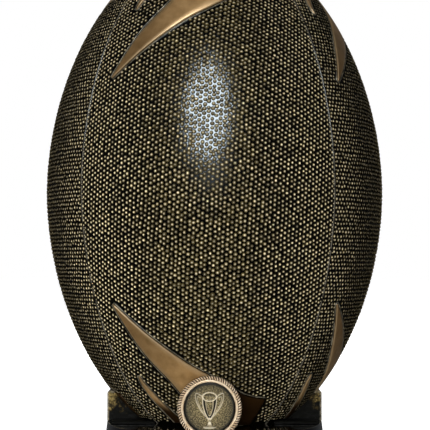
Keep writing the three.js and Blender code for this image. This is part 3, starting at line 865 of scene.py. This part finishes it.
def build_disc(finish):
    """The medallion's face with the cup in relief, sunk inside the ring."""
    radius = (disc_high.x - disc_low.x) / 2
    face = disc_low.y + 0.42 * MM
    radii = radius * np.concatenate([np.linspace(0.012, 0.975, 110), [0.99, 1.0]])
    around = np.linspace(0, TAU, 300, endpoint=False)
    r, a = np.meshgrid(radii, around, indexing="ij")
    x, z = r * np.sin(a), r * np.cos(a)
    lines, swell, gap = cup_relief(x / MM, z / MM)
    up = 0.36 * MM * lines + 0.16 * MM * swell - 0.12 * MM * gap
    up -= 0.4 * MM * smoothstep(0.975, 1.0, r / radius)
    points = np.stack([MEDALLION_X + x, face - up, MEDALLION_Z + z], -1)
    count = len(around)
    back = points[-1].copy()
    back[:, 1] = disc_high.y
    middle = [MEDALLION_X, face - up[0].mean(), MEDALLION_Z]
    behind = [MEDALLION_X, disc_high.y, MEDALLION_Z]
    vertices = np.concatenate([points.reshape(-1, 3), back, [middle], [behind]])
    faces = [face[::-1] for face in fanned_faces(len(radii) + 1, count)]
    made = mesh_object("medallion_cup_disc", vertices, faces, [finish])
    # Painted shade: the face darkens towards the rim, under the ring, through the hollows' dark colour.
    edge = 0.5 * smoothstep(0.45, 0.92, r / radius) + 0.5 * smoothstep(0.86, 0.96, r / radius)
    tail = count + 2
    paint_float(made, "raised", np.concatenate([lines.ravel(), np.zeros(tail)]))
    paint_float(made, "hollow", np.concatenate([np.clip(gap + edge, 0, 1).ravel(), np.ones(tail)]))
    return piece(made, "disc", "medallion_disc")


# ---------------------------------------------------------------- make everything
ground = ball_ground()
gold = flame_gold()
rims = rim_gold()
pebble_set = pebble_finishes()
bronze_cast = bronze()
steel = cast_material("zinc_steel", (0.35, 0.36, 0.37), (0.55, 0.56, 0.57), 300, 1.0, 0.35)
resin = cast_material("bare_resin", (0.38, 0.35, 0.31), (0.50, 0.47, 0.42), 200, 0.0, 0.7)
brass = cast_material("machined_brass", (0.52, 0.40, 0.18), (0.66, 0.52, 0.25), 300, 1.0, 0.3)
foam = cast_material("foam_pad", (0.70, 0.69, 0.65), (0.85, 0.84, 0.80), 900, 0.0, 0.9)

build_skin(ground)
for name, flame, tip, pole in list_flames():
    build_flame(name, flame, tip, pole, gold)
    build_rim(name, flame, tip, pole, rims)
for side, (middle, angle) in PANELS.items():
    azimuth, height, size = lattice(middle, angle, side in ("left", "right"))
    for band, low, high in PEBBLE_BANDS:
        inside = (height >= low) & (height < high)
        build_pebbles(f"pebbles_{side}_{band}", azimuth[inside], height[inside], size[inside], pebble_set)
build_plinth(plinth_black())
build_bezel(copper_gold())
build_disc(disc_gold())

# pieces that keep the CAD model's shape: their finish and slot
CARRIED_OVER = {
    "cradle_cheek_right": (bronze_cast, "cradle"),
    "cradle_cheek_left": (bronze_cast, "cradle"),
    "medallion_holder": (bronze_cast, "cradle"),
    "felt_pad": (felt_black(), "felt"),
    "ballast_plate": (steel, "steel"),
    "bolt_washer": (steel, "steel"),
    "tie_bolt": (steel, "steel"),
    "ball_bung": (resin, "resin"),
    "threaded_insert": (brass, "brass"),
    "disc_adhesive": (foam, "adhesive"),
}
for name in nodes:
    if name.startswith("cradle_screw"):
        CARRIED_OVER[name] = (steel, "steel")
for name, (finish, slot) in CARRIED_OVER.items():
    nodes[name].data.materials.clear()
    nodes[name].data.materials.append(finish)

# ---------------------------------------------------------------- floor, world and lights
bpy.ops.mesh.primitive_plane_add(size=12, location=(0, 0, cad_low.z))
floor = bpy.context.object
floor.name = "floor"
pale = material("pale_floor", Base_Color=(0.85, 0.85, 0.85), Roughness=0.9)
shader_of(pale).inputs["Emission Color"].default_value = (1, 1, 1, 1)
away = add_node(pale, "ShaderNodeVectorMath", {0: object_place(pale)}, operation="LENGTH")
link(pale, remap(pale, away.outputs["Value"], 0.08, 0.2, 0.5, 1.0), "Emission Strength")
floor.data.materials.append(pale)
# The floor is only a backdrop: it casts no shadow, so the two low lights shine through it.
floor.visible_glossy = False
floor.visible_diffuse = False
floor.visible_shadow = False


def build_world():
    """White to the camera; what lights the trophy is dark in front and bright behind."""
    world = bpy.data.worlds.new("studio")
    bpy.context.scene.world = world
    world.use_nodes = True
    tree = world.node_tree
    tree.nodes.clear()

    def node(kind, **settings):
        made = tree.nodes.new(kind)
        for key, value in settings.items():
            setattr(made, key, value)
        return made

    place = node("ShaderNodeTexCoord")
    split = node("ShaderNodeSeparateXYZ")
    behind = node("ShaderNodeMapRange", interpolation_type="SMOOTHSTEP")
    for key, value in (("From Min", 0.25), ("From Max", 1.0), ("To Min", 0.015), ("To Max", 0.06)):
        behind.inputs[key].default_value = value
    dim = node("ShaderNodeBackground")
    dim.inputs["Color"].default_value = (0.93, 0.97, 1.0, 1)
    white = node("ShaderNodeBackground")
    seen = node("ShaderNodeLightPath")
    mix = node("ShaderNodeMixShader")
    out = node("ShaderNodeOutputWorld")
    white.inputs["Color"].default_value = (1, 1, 1, 1)
    link_up = tree.links.new
    link_up(place.outputs["Generated"], split.inputs[0])
    link_up(split.outputs["Y"], behind.inputs["Value"])
    link_up(behind.outputs["Result"], dim.inputs["Strength"])
    link_up(seen.outputs["Is Camera Ray"], mix.inputs[0])
    link_up(dim.outputs[0], mix.inputs[1])
    link_up(white.outputs[0], mix.inputs[2])
    link_up(mix.outputs[0], out.inputs["Surface"])


def softbox(name, azimuth, elevation, distance, width, height, radiance, colour=(1, 1, 1),
            glossy=True, diffuse=True):
    """An elliptical light that faces the ball's middle, and may be left out of one kind of shading."""
    a, e = math.radians(azimuth), math.radians(elevation)
    lamp = bpy.data.lights.new(name, "AREA")
    lamp.shape = "ELLIPSE"
    lamp.size, lamp.size_y = width, height
    lamp.energy = radiance * math.pi * width * height * math.pi / 4
    lamp.color = colour
    made = bpy.data.objects.new(name, lamp)
    aim = np.array([math.sin(a) * math.cos(e), -math.cos(a) * math.cos(e), math.sin(e)])
    made.location = aim * distance + np.array([0, 0, BALL_CENTRE])
    made.rotation_euler = (math.pi / 2 - e, 0, a)
    made.visible_glossy = glossy
    made.visible_diffuse = diffuse
    bpy.context.scene.collection.objects.link(made)


build_world()
softbox("key", -5, 29.5, 1.0, 0.46, 0.58, 12.5, (0.97, 0.99, 1.0), diffuse=False)
softbox("key_spill", -2, 12, 1.0, 0.36, 0.4, 0.6, (0.9, 0.96, 1.0), diffuse=False)
softbox("front", -8, -3, 1.2, 0.6, 0.6, 12.5, (1.0, 0.99, 0.97), glossy=False)
softbox("low_left", -25, -42, 1.3, 0.6, 0.5, 3.6, (1.0, 0.95, 0.86), glossy=False)
softbox("low_right", 12, -40, 1.3, 0.6, 0.5, 1.2, (1.0, 0.95, 0.86), glossy=False)
softbox("back_fill", 180, 35, 1.6, 0.9, 0.9, 2.0)
softbox("back_left", -142, 15, 1.6, 0.9, 0.9, 6.5, glossy=False)
softbox("back_right", 145, 15, 1.6, 0.9, 0.9, 6.0, glossy=False)

# ---------------------------------------------------------------- camera
CAMERA_DISTANCE = 0.6514
CAMERA_HEIGHT = 0.1076
CAMERA_ASIDE = 0.26 * MM
CAMERA_PITCH = math.radians(2.08)
CAMERA_SENSOR = 36  # millimetres, as the lens
CAMERA_LENS = 103.387
camera = bpy.data.objects.new("camera", bpy.data.cameras.new("camera"))
camera.data.sensor_width = CAMERA_SENSOR
camera.data.lens = CAMERA_LENS
camera.location = (CAMERA_ASIDE, -CAMERA_DISTANCE, CAMERA_HEIGHT)
camera.rotation_euler = (math.pi / 2 + CAMERA_PITCH, 0, 0)
bpy.context.scene.collection.objects.link(camera)
bpy.context.scene.camera = camera
bpy.context.scene.view_settings.view_transform = "Standard"
